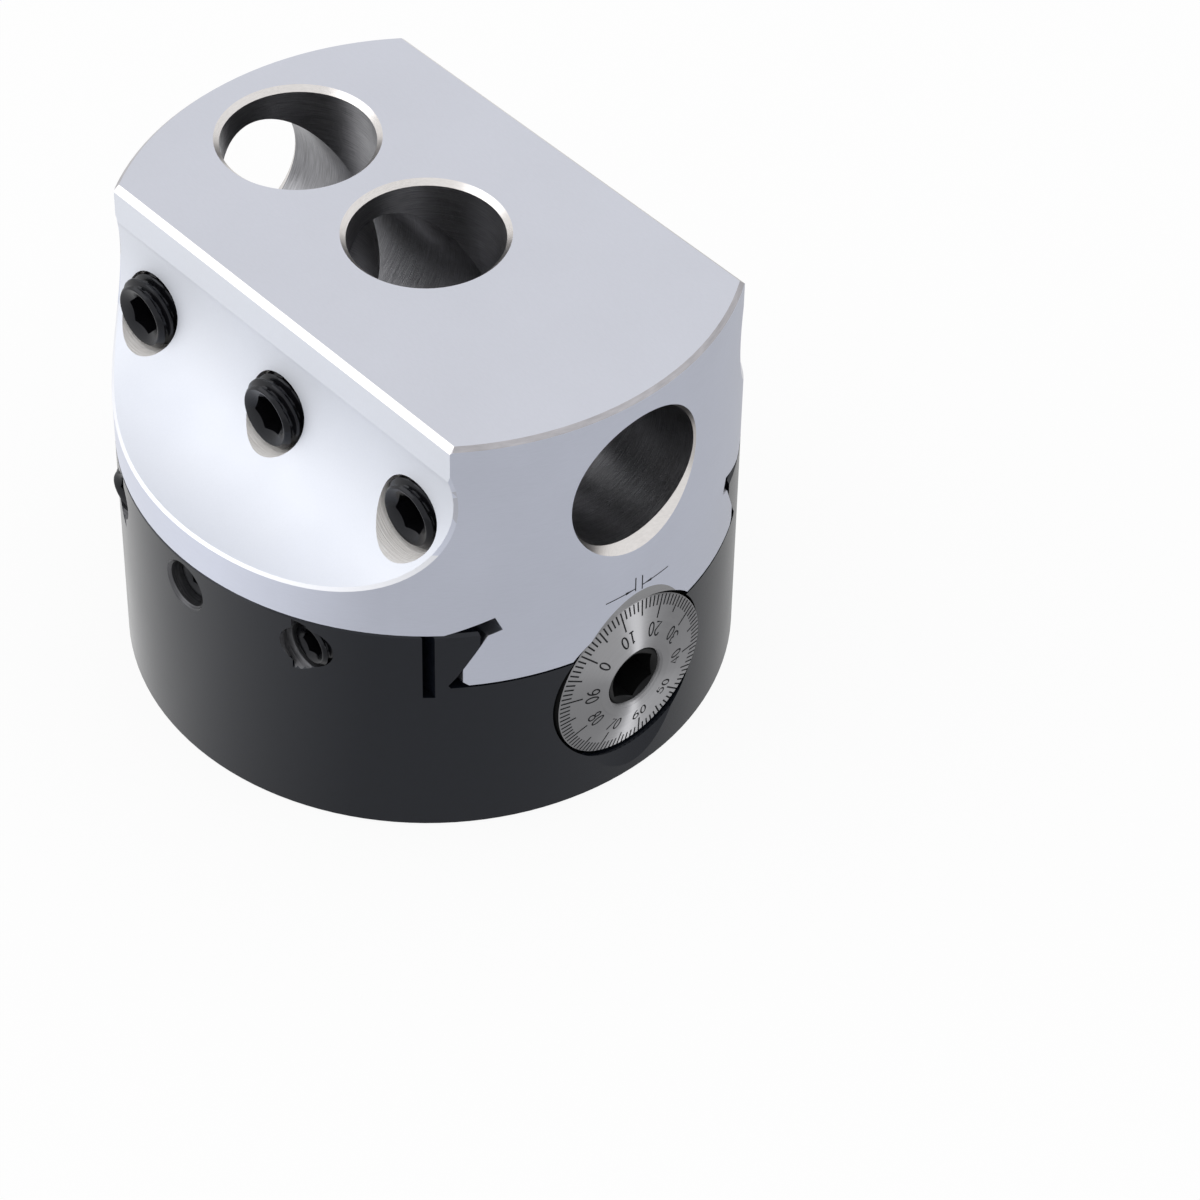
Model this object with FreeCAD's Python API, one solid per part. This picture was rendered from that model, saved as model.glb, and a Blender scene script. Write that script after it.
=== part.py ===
"""Boring head with a dovetail slide, a graduated lead screw and three bar bores.

All sizes are in millimetres. The origin is the centre of the mounting face at the
bottom of the body, +Z points to the tool face, +X to the dial and -Y to the side
with the set screws.
"""
import FreeCAD
import Part
import math
import os

V = FreeCAD.Vector
X_AXIS = V(1, 0, 0)
Y_AXIS = V(0, 1, 0)
Z_AXIS = V(0, 0, 1)

# Clearances
way_clearance = 0.05
floor_clearance = 0.4
seat_clearance = 0.02
running_clearance = 0.03
thread_clearance = 0.04
end_float = 0.06
free_gap = 0.35
overcut = 1.0

# Head
head_diameter = 101.6
head_height = 81.6
body_height = 42.7
body_edge_chamfer = 0.5
tool_face_chamfer = 1.0
rim_chamfer = 0.7

# Slide above the body
flats_width = 60.4
ledge_rise = 7.0
ledge_width = 1.3
recess_bite = 0.65
ledge_chamfer = 0.45

# Bar bores
bar_diameter = 25.4
bar_pitch = 31.75
bar_depth = 38.1
cross_bore_drop = 17.8
bore_chamfer = 0.9
bore_seam_angle = 45.0
cross_bore_flare = 0.55

# Dovetail of the slide
dovetail_width = 57.4
dovetail_angle = 64.0
dovetail_drop = 11.15
dovetail_land = 3.5
dovetail_chamfer = 0.8

# Relief groove beside the neck of the dovetail
groove_reach = 2.4
groove_height = 2.9
groove_top_bite = 4.3
groove_foot_bite = 5.4
groove_root_lift = 0.1
groove_foot_drop = 0.75

# Dovetail of the body, with its sawn gib
lip_bite = 2.3
corner_relief_height = 2.4
corner_relief_reach = 1.1
corner_relief_low = 0.6
corner_relief_break = 0.33
kerf_width = 1.5
kerf_depth = 13.5
gib_wall = 3.5

# Shank thread
shank_diameter = 38.1
shank_web = 2.4
shank_chamfer = 1.2

# Lead screw
screw_drop = 10.29
screw_thread_diameter = 11.11
slide_travel = 38.1
dial_seat_diameter = 11.0
journal_shoulder = 0.5
socket_recess = 0.6
socket_width = 8.0
socket_depth = 8.0
tail_diameter = 8.0
tail_length = 11.0

# Dial
dial_diameter = 30.14
dial_rim_offset = 1.49
dial_cone_rise = 1.55
dial_hub_wall = 1.7
dial_rim_chamfer = 0.25
dial_thickness = 4.7

# Dial pocket
pocket_clearance = 0.45
slide_pocket_clearance = 0.9
dish_width = 3.98
dish_depth = 0.8

# Bearings of the lead screw
washer_face = 6.0
washer_thickness = 1.0
front_bush_wall = 2.0
front_bush_length = 12.6
rear_bush_wall = 2.5
rear_bush_length = 11.5
collar_shoulder = 2.0
collar_length = 4.0
collar_pin_diameter = 2.0
collar_pin_inset = 0.3

# Nut and trough
nut_length = 14.6
nut_wall = 2.35
nut_flange_edge = 3.8
nut_flange_thickness = 5.4
nut_screw_head_gap = 0.3
nut_screw_diameter = 4.0
nut_screw_head_diameter = 7.0
nut_screw_head_height = 4.0
nut_screw_grip = 6.5
nut_screw_socket = 3.0
nut_screw_socket_depth = 2.0
nut_dowel_diameter = 3.0
nut_dowel_edge = 2.6
nut_dowel_grip = 5.0
trough_side_gap = 0.5
trough_drop = 8.36

# Set screw through the dial
dial_screw_diameter = 4.0
dial_screw_length = 6.0
dial_screw_socket = 2.0
dial_screw_socket_depth = 2.0

# Bar clamping screws
bar_screw_diameter = 12.0
bar_screw_length = 16.0
bar_screw_socket = 6.0
bar_screw_socket_depth = 5.5
bar_screw_drop = 1.6
bar_screw_stand_far = 3.2
bar_screw_stand_centre = 3.2
bar_screw_stand_near = 1.2
bar_hole_step = 0.4
bar_hole_stand = 2.0

# Gib screws
gib_screw_diameter = 8.0
gib_screw_socket = 4.0
gib_screw_socket_depth = 4.0
gib_hole_chamfer = 1.7
gib_screw_drop = 5.9
gib_screw_pitch = 23.3
gib_screw_length_far = 12.0
gib_screw_length_centre = 14.0
gib_screw_length_near = 12.0
lock_pad_length = 2.2
lock_pad_diameter = 6.6

# Worked out from the sizes above
head_radius = head_diameter / 2
bar_radius = bar_diameter / 2
flat_y = flats_width / 2
slide_seat = body_height + way_clearance
ledge_height = body_height + ledge_rise
recess_radius = head_radius - ledge_width - flat_y + recess_bite
cross_bore_height = head_height - cross_bore_drop
bar_screw_height = cross_bore_height - bar_screw_drop
dovetail_bottom = body_height - dovetail_drop
dovetail_half = dovetail_width / 2
groove_mouth = dovetail_half + groove_reach
groove_root_top = dovetail_half - groove_top_bite
groove_root_bottom = dovetail_half - groove_foot_bite
lip_half = dovetail_half - lip_bite
gib_face = dovetail_half + gib_wall
gib_screw_height = body_height - gib_screw_drop
screw_axis_height = dovetail_bottom - screw_drop
journal_diameter = dial_seat_diameter + 2 * journal_shoulder
dial_hub_diameter = dial_seat_diameter + 2 * dial_hub_wall
washer_diameter = journal_diameter + 2 * washer_face
front_bush_diameter = journal_diameter + 2 * front_bush_wall
rear_bush_diameter = tail_diameter + 2 * rear_bush_wall
collar_diameter = journal_diameter + 2 * collar_shoulder
nut_block_width = screw_thread_diameter + 2 * nut_wall
nut_screw_spacing = nut_block_width + nut_screw_head_diameter + 2 * nut_screw_head_gap
nut_flange_width = nut_screw_spacing + 2 * nut_flange_edge
nut_dowel_spacing = nut_length - 2 * nut_dowel_edge
trough_floor = screw_axis_height - trough_drop
shank_depth = trough_floor - shank_web
flank_foot = dovetail_bottom + dovetail_land
flank_slope = math.tan(math.radians(dovetail_angle))
pocket_floor = head_radius - dial_rim_offset - dial_thickness - washer_thickness - end_float
washer_front = pocket_floor + washer_thickness
dial_back = washer_front + end_float
dial_rim = dial_back + dial_thickness
dial_hub = dial_rim + dial_cone_rise
trough_front = pocket_floor - front_bush_length
collar_front = trough_front - end_float
collar_back = collar_front - collar_length
nut_front = collar_back - free_gap
nut_back = nut_front - nut_length
nut_middle = (nut_front + nut_back) / 2
trough_back = nut_back - slide_travel - free_gap
trough_half = nut_flange_width / 2 + trough_side_gap
tail_end = trough_back - tail_length
kerf_face = gib_face + kerf_width


def rod(start, axis, diameter, length):
    """Round bar from a point along an axis."""
    return Part.makeCylinder(diameter / 2, length, start, axis)


def cone(start, axis, start_diameter, end_diameter, length):
    """Frustum from a point along an axis."""
    return Part.makeCone(start_diameter / 2, end_diameter / 2, length, start, axis)


def block(low, high):
    """Box between two opposite corners."""
    size = high - low
    return Part.makeBox(size.x, size.y, size.z, low)


def hexagon(centre, axis, across_flats, depth):
    """Hexagonal prism from a point along an axis, with a corner in the XY plane or on X."""
    corner_radius = across_flats / math.sqrt(3)
    side = Z_AXIS if abs(axis.z) < 0.5 else X_AXIS
    other = axis.cross(side)
    corners = []
    for step in range(7):
        angle = math.radians(60 * step)
        corners.append(centre + side * (corner_radius * math.cos(angle))
                       + other * (corner_radius * math.sin(angle)))
    return Part.Face(Part.makePolygon(corners)).extrude(axis * depth)


def prism_along_x(outline, start, end):
    """Solid from a closed list of (y, z) points, drawn from start to end along X."""
    corners = [V(start, y, z) for y, z in outline + outline[:1]]
    return Part.Face(Part.makePolygon(corners)).extrude(V(end - start, 0, 0))


def turned_about_x(outline, height):
    """Turned piece on a lengthwise axis at a height, from (x, radius) points."""
    corners = [V(x, 0, height + radius) for x, radius in outline + outline[:1]]
    face = Part.Face(Part.makePolygon(corners))
    return face.revolve(V(0, 0, height), X_AXIS, 360)


def mirrored(outline):
    """A half outline of (y, z) points closed by its mirror image in the XZ plane."""
    return outline + [(-y, z) for y, z in reversed(outline)]


def flank_y(z, gap):
    """Y of the sloping dovetail face at a height, moved outward by a normal gap."""
    outward = gap / math.sin(math.radians(dovetail_angle))
    return dovetail_half - (z - flank_foot) / flank_slope + outward


def recess_tool():
    """What is cleared beside the +Y flat: the undercut recess down to the ledge."""
    centre_y = head_radius - ledge_width
    centre_z = ledge_height + recess_radius
    rise = math.sqrt(recess_radius ** 2 - (centre_y - flat_y) ** 2)
    turn = math.sqrt(0.5) * recess_radius
    wide = head_radius + overcut
    over = head_height + recess_radius
    lower = V(0, centre_y, ledge_height)
    middle = V(0, centre_y - turn, centre_z - turn)
    upper = V(0, flat_y, centre_z + rise)
    sides = Part.makePolygon([
        upper,
        V(0, flat_y, over),
        V(0, wide, over),
        V(0, wide, ledge_height),
        lower,
    ])
    edges = Part.__sortEdges__([Part.Arc(lower, middle, upper).toShape()] + sides.Edges)
    tool = Part.Face(Part.Wire(edges)).extrude(V(2 * wide, 0, 0))
    tool.translate(V(-wide, 0, 0))
    return tool


def slide_section():
    """Upper block of the slide across its travel: chamfered flats, recesses and ledges."""
    wide = head_radius + overcut
    upper = prism_along_x([
        (-wide, slide_seat),
        (-wide, head_height),
        (wide, head_height),
        (wide, slide_seat),
    ], -wide, wide)
    chamfer = prism_along_x([
        (flat_y + overcut, head_height - tool_face_chamfer - overcut),
        (flat_y + overcut, head_height + overcut),
        (flat_y - tool_face_chamfer - overcut, head_height + overcut),
    ], -wide, wide)
    for tool in (recess_tool(), chamfer):
        upper = upper.cut(tool).cut(tool.mirror(V(0, 0, 0), Y_AXIS))
    return upper


def dovetail_outline():
    """Male dovetail under the slide, up to a little above the seat."""
    flank_top = slide_seat - groove_foot_drop
    return mirrored([
        (groove_root_bottom, slide_seat + groove_root_lift),
        (flank_y(flank_top, 0), flank_top),
        (dovetail_half, flank_foot),
        (dovetail_half, dovetail_bottom + dovetail_chamfer),
        (dovetail_half - dovetail_chamfer, dovetail_bottom),
    ])


def neck_groove_outline():
    """Relief groove above the lip of the body, on the +Y side."""
    return [
        (groove_mouth, slide_seat),
        (groove_root_top, slide_seat + groove_height),
        (groove_root_bottom, slide_seat + groove_root_lift),
        (groove_root_bottom, slide_seat - overcut),
        (groove_mouth, slide_seat - overcut),
    ]


def chamfered_disc(low, high, top_chamfer, bottom_chamfer):
    """Round blank of the head between two heights with chamfered rims."""
    outline = [
        (0, low),
        (head_radius - bottom_chamfer, low),
        (head_radius, low + bottom_chamfer),
        (head_radius, high - top_chamfer),
        (head_radius - top_chamfer, high),
        (0, high),
    ]
    corners = []
    for radius, z in outline + outline[:1]:
        if not corners or (V(radius, 0, z) - corners[-1]).Length > 1e-6:
            corners.append(V(radius, 0, z))
    return Part.Face(Part.makePolygon(corners)).revolve(V(0, 0, 0), Z_AXIS, 360)


def dial_pocket(clearance):
    """Round pocket for the dial, with a shallow dished mouth on the round side."""
    diameter = dial_diameter + 2 * clearance
    mouth = dial_diameter + 2 * dish_width
    slope = (mouth - diameter) / dish_depth
    pocket = rod(V(pocket_floor, 0, screw_axis_height), X_AXIS, diameter,
                 head_radius + overcut - pocket_floor)
    dish = cone(V(head_radius - dish_depth, 0, screw_axis_height), X_AXIS, diameter,
                mouth + slope * overcut, dish_depth + overcut)
    return pocket.fuse(dish)


def bar_bore(mouth, inward, depth):
    """Bar bore with its chamfer, from the mouth inwards."""
    hole = rod(mouth, inward, bar_diameter, depth)
    hole.rotate(mouth, inward, bore_seam_angle)
    lead = cone(mouth, inward, bar_diameter + 2 * bore_chamfer, bar_diameter, bore_chamfer)
    return hole.fuse(lead)


def cross_bore():
    """Lengthwise bar bore, right through, with a chamfer that follows the round side."""
    end = head_radius + overcut
    hole = rod(V(-end, 0, cross_bore_height), X_AXIS, bar_diameter, 2 * end)
    for side in (1, -1):
        edge = side * (math.sqrt(head_radius ** 2 - bar_radius ** 2) - bore_chamfer / 2)
        outward = V(side, 0, 0)
        reach = end - abs(edge)
        lead = cone(V(edge, 0, cross_bore_height), outward, bar_diameter,
                    bar_diameter + 2 * reach * cross_bore_flare, reach)
        hole = hole.fuse(lead)
    return hole


def bar_screw_places():
    """Name, X and the Y distance of the outer face of each bar clamping screw."""
    return [
        ("bar_screw_far", -bar_pitch, flat_y + bar_screw_stand_far),
        ("bar_screw_centre", 0, flat_y + bar_screw_stand_centre),
        ("bar_screw_near", bar_pitch, flat_y + bar_screw_stand_near),
    ]


def gib_screw_places():
    """Name, X, length and gap ahead of each gib screw."""
    return [
        ("gib_screw_far", -gib_screw_pitch, gib_screw_length_far, 0),
        ("gib_lock_screw", 0, gib_screw_length_centre, lock_pad_length),
        ("gib_screw_near", gib_screw_pitch, gib_screw_length_near, 0),
    ]


def bar_screw_hole(x):
    """Tapped hole for a bar clamping screw, with a slightly wider mouth in the recess."""
    diameter = bar_screw_diameter + 2 * thread_clearance
    mouth = diameter + 2 * bar_hole_step
    start = V(x, -head_radius, bar_screw_height)
    reach = head_radius - flat_y + bar_hole_stand
    hole = rod(start, Y_AXIS, diameter, head_radius - bar_radius / 2)
    lead = cone(start + Y_AXIS * reach, Y_AXIS, mouth, diameter, bar_hole_step)
    return hole.fuse(rod(start, Y_AXIS, mouth, reach)).fuse(lead)


def nut_fastener_points(spacing, along):
    """Two points under the slide, side by side across X or along it."""
    half = spacing / 2
    if along:
        return [V(nut_middle - half, 0, 0), V(nut_middle + half, 0, 0)]
    return [V(nut_middle, -half, 0), V(nut_middle, half, 0)]


def tool_slide():
    """Silver slide: round block with flats and recesses on a male dovetail."""
    blank = chamfered_disc(dovetail_bottom, head_height, rim_chamfer, 0)
    upper = slide_section()
    end = head_radius + overcut
    groove = prism_along_x(neck_groove_outline(), -end, end)
    upper = upper.cut(groove)
    upper = upper.cut(groove.mirror(V(0, 0, 0), Y_AXIS))
    lower = prism_along_x(dovetail_outline(), -end, end)
    slide = upper.fuse(lower).removeSplitter().common(blank)
    slide = chamfer_ledge(slide)
    for x in (0, -bar_pitch):
        slide = slide.cut(bar_bore(V(x, 0, head_height), -Z_AXIS, bar_depth))
    slide = slide.cut(cross_bore())
    for name, x, face in bar_screw_places():
        slide = slide.cut(bar_screw_hole(x))
    slide = slide.cut(dial_pocket(slide_pocket_clearance))
    for point in nut_fastener_points(nut_screw_spacing, False):
        start = point + V(0, 0, dovetail_bottom)
        slide = slide.cut(rod(start, Z_AXIS, nut_screw_diameter + 2 * seat_clearance,
                              nut_screw_grip + free_gap))
    return slide.cut(nut_dowel_rods(2 * seat_clearance))


def chamfer_ledge(slide):
    """Break the outer rim of the two ledges."""
    rim = []
    for edge in slide.Edges:
        box = edge.BoundBox
        flat = box.ZLength < 0.001 and abs(box.ZMin - ledge_height) < 0.001
        if flat and edge.Curve.TypeId == "Part::GeomCircle":
            rim.append(edge)
    return slide.makeChamfer(ledge_chamfer, rim)


def body_way_outline():
    """Female dovetail in the top of the body, with its corner reliefs."""
    floor = dovetail_bottom - floor_clearance
    lip_end = flank_foot + (flank_y(flank_foot, way_clearance) - lip_half) * flank_slope
    relief_start = floor + corner_relief_height
    relief_y = flank_y(relief_start, way_clearance)
    return mirrored([
        (lip_half, body_height + overcut),
        (lip_half, lip_end),
        (relief_y, relief_start),
        (relief_y + corner_relief_reach, floor + corner_relief_low),
        (relief_y + corner_relief_reach - corner_relief_break, floor),
    ])


def head_body():
    """Black body: shank thread below, dovetail way, gib kerf and screw trough above."""
    body = chamfered_disc(0, body_height, body_edge_chamfer, body_edge_chamfer)
    end = head_radius + overcut
    body = body.cut(prism_along_x(body_way_outline(), -end, end))
    body = body.cut(block(V(-end, -kerf_face, body_height - kerf_depth),
                          V(end, -gib_face, body_height + overcut)))
    body = body.cut(block(V(trough_back, -trough_half, trough_floor),
                          V(trough_front, trough_half, body_height)))
    body = body.cut(dial_pocket(pocket_clearance))
    body = body.cut(rod(V(trough_front - overcut, 0, screw_axis_height), X_AXIS,
                        front_bush_diameter + 2 * seat_clearance,
                        pocket_floor - trough_front + 2 * overcut))
    body = body.cut(rod(V(trough_back + overcut, 0, screw_axis_height), -X_AXIS,
                        rear_bush_diameter + 2 * seat_clearance,
                        rear_bush_length + 2 * overcut))
    body = body.cut(rod(V(0, 0, -overcut), Z_AXIS, shank_diameter, shank_depth + overcut))
    body = body.cut(cone(V(0, 0, 0), Z_AXIS, shank_diameter + 2 * shank_chamfer,
                         shank_diameter, shank_chamfer))
    for name, x, length, gap in gib_screw_places():
        hole = rod(V(x, -head_radius, gib_screw_height), Y_AXIS,
                   gib_screw_diameter + 2 * thread_clearance, head_radius - gib_face)
        mouth = math.sqrt(head_radius ** 2 - x ** 2)
        lead = cone(V(x, -mouth - overcut, gib_screw_height), Y_AXIS,
                    gib_screw_diameter + 2 * gib_hole_chamfer, gib_screw_diameter,
                    gib_hole_chamfer)
        body = body.cut(hole).cut(lead)
    return body


def set_screw(x, face, z, diameter, length, socket, depth):
    """Socket set screw along Y, with its socket face outwards."""
    start = V(x, -face, z)
    screw = rod(start, Y_AXIS, diameter, length)
    return screw.cut(hexagon(start - Y_AXIS * overcut, Y_AXIS, socket, depth + overcut))


def lock_pad():
    """Soft brass slug between the lock screw and the gib."""
    start = V(0, -gib_face - way_clearance - lock_pad_length, gib_screw_height)
    return rod(start, Y_AXIS, lock_pad_diameter, lock_pad_length)


def lead_screw():
    """Lead screw with its dial seat, journal, thread and tail journal."""
    thread = screw_thread_diameter / 2
    journal = journal_diameter / 2
    seat = dial_seat_diameter / 2
    tail = tail_diameter / 2
    front = dial_hub - socket_recess
    tail_start = trough_back + free_gap
    screw = turned_about_x([
        (front, 0),
        (front, seat),
        (dial_back, seat),
        (dial_back, journal),
        (collar_back, journal),
        (collar_back, thread),
        (tail_start, thread),
        (tail_start, tail),
        (tail_end, tail),
        (tail_end, 0),
    ], screw_axis_height)
    centre = V(front + overcut, 0, screw_axis_height)
    screw = screw.cut(hexagon(centre, -X_AXIS, socket_width, socket_depth + overcut))
    return screw.cut(collar_pin_rod(2 * seat_clearance))


def dial_ring():
    """Graduated dial with a conical face, a flat hub and a plain bore."""
    bore = dial_seat_diameter / 2 + seat_clearance
    rim = dial_diameter / 2
    hub = dial_hub_diameter / 2
    ring = turned_about_x([
        (dial_back, bore),
        (dial_back, rim),
        (dial_rim - dial_rim_chamfer, rim),
        (dial_rim, rim - dial_rim_chamfer),
        (dial_hub, hub),
        (dial_hub, bore),
    ], screw_axis_height)
    return ring.cut(dial_screw_rod(2 * seat_clearance, dial_diameter / 2))


def dial_screw_start():
    """Point on the dial seat where the small set screw of the dial ends."""
    x = dial_back + dial_thickness / 2
    return V(x, 0, screw_axis_height - dial_seat_diameter / 2 - seat_clearance)


def dial_screw_rod(extra, length):
    """Cylinder of the small dial set screw, pointing down from the dial seat."""
    return rod(dial_screw_start(), -Z_AXIS, dial_screw_diameter + extra, length)


def dial_grub_screw():
    """Small set screw that fixes the dial on the lead screw."""
    screw = dial_screw_rod(0, dial_screw_length)
    end = dial_screw_start() - Z_AXIS * (dial_screw_length + overcut)
    return screw.cut(hexagon(end, Z_AXIS, dial_screw_socket, dial_screw_socket_depth + overcut))


def collar_pin_rod(extra):
    """Cylinder of the cross pin through collar and lead screw."""
    x = (collar_front + collar_back) / 2
    length = collar_diameter - 2 * collar_pin_inset
    start = V(x, -length / 2 - extra, screw_axis_height)
    return rod(start, Y_AXIS, collar_pin_diameter + extra, length + 2 * extra)


def thrust_collar():
    """Collar pinned to the lead screw behind the front wall."""
    ring = tube_about_x(collar_back, collar_front, journal_diameter + 2 * seat_clearance,
                        collar_diameter)
    return ring.cut(collar_pin_rod(2 * seat_clearance))


def tube_about_x(start, end, inner, outer):
    """Sleeve on the axis of the lead screw."""
    return turned_about_x([
        (start, inner / 2),
        (start, outer / 2),
        (end, outer / 2),
        (end, inner / 2),
    ], screw_axis_height)


def thrust_washer():
    """Bronze washer between the dial and the floor of its pocket."""
    return tube_about_x(pocket_floor, washer_front, journal_diameter + 2 * running_clearance,
                        washer_diameter)


def front_bush():
    """Bronze bush in the front wall."""
    return tube_about_x(trough_front, pocket_floor, journal_diameter + 2 * running_clearance,
                        front_bush_diameter)


def rear_bush():
    """Bronze bush in the rear wall."""
    return tube_about_x(trough_back - rear_bush_length, trough_back,
                        tail_diameter + 2 * running_clearance, rear_bush_diameter)


def feed_nut():
    """Bronze nut: block round the lead screw under a flange that bolts to the slide."""
    flange_bottom = dovetail_bottom - nut_flange_thickness
    half_block = nut_block_width / 2
    half_flange = nut_flange_width / 2
    nut = prism_along_x(mirrored([
        (half_flange, dovetail_bottom),
        (half_flange, flange_bottom),
        (half_block, flange_bottom),
        (half_block, trough_floor + free_gap),
    ]), nut_back, nut_front)
    nut = nut.cut(rod(V(nut_back - overcut, 0, screw_axis_height), X_AXIS,
                      screw_thread_diameter + 2 * thread_clearance, nut_length + 2 * overcut))
    for point in nut_fastener_points(nut_screw_spacing, False):
        start = point + V(0, 0, flange_bottom - overcut)
        nut = nut.cut(rod(start, Z_AXIS, nut_screw_diameter + 2 * seat_clearance,
                          nut_flange_thickness + 2 * overcut))
    return nut.cut(nut_dowel_rods(2 * seat_clearance))


def nut_dowel_rods(extra):
    """Two vertical dowels across the joint between nut and slide."""
    below = nut_flange_thickness - overcut
    start = V(0, 0, dovetail_bottom - below - extra / 2)
    length = nut_dowel_grip + below + extra
    dowels = []
    for point in nut_fastener_points(nut_dowel_spacing, True):
        dowels.append(rod(point + start, Z_AXIS, nut_dowel_diameter + extra, length))
    return Part.makeCompound(dowels)


def nut_screws():
    """Two socket cap screws that hold the nut up against the slide."""
    flange_bottom = dovetail_bottom - nut_flange_thickness
    solids = []
    for point in nut_fastener_points(nut_screw_spacing, False):
        seat = point + V(0, 0, flange_bottom)
        head = rod(seat, -Z_AXIS, nut_screw_head_diameter, nut_screw_head_height)
        shank = rod(seat, Z_AXIS, nut_screw_diameter, nut_flange_thickness + nut_screw_grip)
        bottom = seat - Z_AXIS * (nut_screw_head_height + overcut)
        socket = hexagon(bottom, Z_AXIS, nut_screw_socket, nut_screw_socket_depth + overcut)
        solids.append(head.fuse(shank).removeSplitter().cut(socket))
    return Part.makeCompound(solids)


def pieces():
    """Every piece of the head by name."""
    made = {
        "head_body": head_body(),
        "tool_slide": tool_slide(),
        "lead_screw": lead_screw(),
        "dial_ring": dial_ring(),
        "dial_grub_screw": dial_grub_screw(),
        "thrust_washer": thrust_washer(),
        "front_bush": front_bush(),
        "rear_bush": rear_bush(),
        "thrust_collar": thrust_collar(),
        "collar_pin": collar_pin_rod(0),
        "feed_nut": feed_nut(),
        "nut_screws": nut_screws(),
        "nut_dowels": nut_dowel_rods(0),
        "lock_pad": lock_pad(),
    }
    for name, x, face in bar_screw_places():
        made[name] = set_screw(x, face, bar_screw_height, bar_screw_diameter,
                               bar_screw_length, bar_screw_socket, bar_screw_socket_depth)
    for name, x, length, gap in gib_screw_places():
        face = gib_face + way_clearance + gap + length
        made[name] = set_screw(x, face, gib_screw_height, gib_screw_diameter,
                               length, gib_screw_socket, gib_screw_socket_depth)
    return made


os.makedirs("parts", exist_ok=True)
for node, shape in pieces().items():
    if not shape.isValid():
        print("not valid:", node)
    print(node, len(shape.Solids), round(shape.Volume / 1000, 2), "cm3")
    shape.exportStep("parts/" + node + ".step")
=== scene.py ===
"""Looks of the boring head: finishes, threads, dial marks, floor, lights and camera.

Sizes are in millimetres unless a name says otherwise, and MM turns them into metres.
The frame is the row frame: +Z up, +X to the dial, -Y to the side with the set screws.
"""
import bpy
import math
from mathutils import Matrix, Vector

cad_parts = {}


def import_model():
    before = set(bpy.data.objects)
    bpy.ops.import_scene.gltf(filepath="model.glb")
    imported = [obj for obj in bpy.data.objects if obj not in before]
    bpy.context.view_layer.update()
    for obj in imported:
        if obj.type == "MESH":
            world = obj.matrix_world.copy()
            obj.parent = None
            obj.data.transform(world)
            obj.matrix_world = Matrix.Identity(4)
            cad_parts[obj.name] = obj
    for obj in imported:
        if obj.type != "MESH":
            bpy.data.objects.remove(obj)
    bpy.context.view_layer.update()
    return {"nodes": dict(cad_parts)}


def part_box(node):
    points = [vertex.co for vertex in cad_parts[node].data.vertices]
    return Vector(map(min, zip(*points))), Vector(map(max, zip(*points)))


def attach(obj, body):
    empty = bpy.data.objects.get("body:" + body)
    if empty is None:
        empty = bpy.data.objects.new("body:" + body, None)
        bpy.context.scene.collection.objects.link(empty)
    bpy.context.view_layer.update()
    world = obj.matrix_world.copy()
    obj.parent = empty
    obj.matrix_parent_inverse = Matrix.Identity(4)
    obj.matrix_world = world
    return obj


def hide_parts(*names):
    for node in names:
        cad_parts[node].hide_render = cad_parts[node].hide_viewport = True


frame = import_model()
nodes = frame["nodes"]

MM = 0.001
TURN = 2 * math.pi
LENGTHWISE, ACROSS, UP = (1, 0, 0), (0, 1, 0), (0, 0, 1)


# Sizes from the frame

def box_mm(node):
    """Lowest and highest corner of a CAD node in millimetres."""
    low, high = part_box(node)
    return low / MM, high / MM


def centre_mm(node):
    low, high = box_mm(node)
    return (low + high) / 2


def radius_mm(node):
    """Radius of a round node that lies flat."""
    low, high = box_mm(node)
    return (high.z - low.z) / 2


dial_low, dial_high = box_mm("dial_ring")
lead_low, lead_high = box_mm("lead_screw")
BAR_SCREWS = ("bar_screw_far", "bar_screw_centre", "bar_screw_near")
BAR_SCREW_BODIES = ("bar_clamp_far", "bar_clamp_centre", "bar_clamp_near")
GIB_SCREWS = ("gib_screw_far", "gib_lock_screw", "gib_screw_near")
GIB_SCREW_BODIES = ("gib_adjuster_far", "gib_lock", "gib_adjuster_near")

HEAD_RADIUS = box_mm("head_body")[1].x
TOP = box_mm("tool_slide")[1].z
LEDGE = box_mm("head_body")[1].z + 7.0
FLAT_Y = 30.2
TOP_CHAMFER = 1.0
LEDGE_CHAMFER = 0.45
RECESS_BITE = 0.65
RECESS_CENTRE_Y = HEAD_RADIUS - 1.3
RECESS_RADIUS = RECESS_CENTRE_Y - FLAT_Y + RECESS_BITE
RECESS_CENTRE_Z = LEDGE + RECESS_RADIUS
BAR_RADIUS = 12.7
BAR_PITCH = 31.75
BAR_DEPTH = 38.1
BORE_CHAMFER = 0.9
CROSS_BORE_HEIGHT = TOP - 17.8
CROSS_MOUTH_RADIUS = BAR_RADIUS + 2.0
CROSS_MOUTH_X = 44.0
BAR_SCREW_PLACES = [centre_mm(node).x for node in BAR_SCREWS]
BAR_SCREW_HEIGHT = centre_mm("bar_screw_centre").z
BAR_SCREW_RADIUS = radius_mm("bar_screw_centre")
BAR_HOLE_RADIUS = BAR_SCREW_RADIUS + 0.04
BAR_HOLE_MOUTH_RADIUS = BAR_HOLE_RADIUS + 0.4
GIB_SCREW_PLACES = [centre_mm(node).x for node in GIB_SCREWS]
GIB_SCREW_HEIGHT = centre_mm("gib_lock_screw").z
GIB_HOLE_MOUTH_RADIUS = radius_mm("gib_lock_screw") + 1.4
GIB_HOLE_END_Y = -34.0
DIAL_AXIS = centre_mm("dial_ring").z
DIAL_RADIUS = radius_mm("dial_ring")
DIAL_BACK = dial_low.x
DIAL_HUB_X = dial_high.x
DIAL_RIM_X = DIAL_HUB_X - 1.55
DIAL_HUB_RADIUS = 7.2
DIAL_BORE = 5.52
POCKET_RADIUS = DIAL_RADIUS + 0.9
DISH_REACH = POCKET_RADIUS + 4.08
DISH_START_X = 40.0
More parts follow.
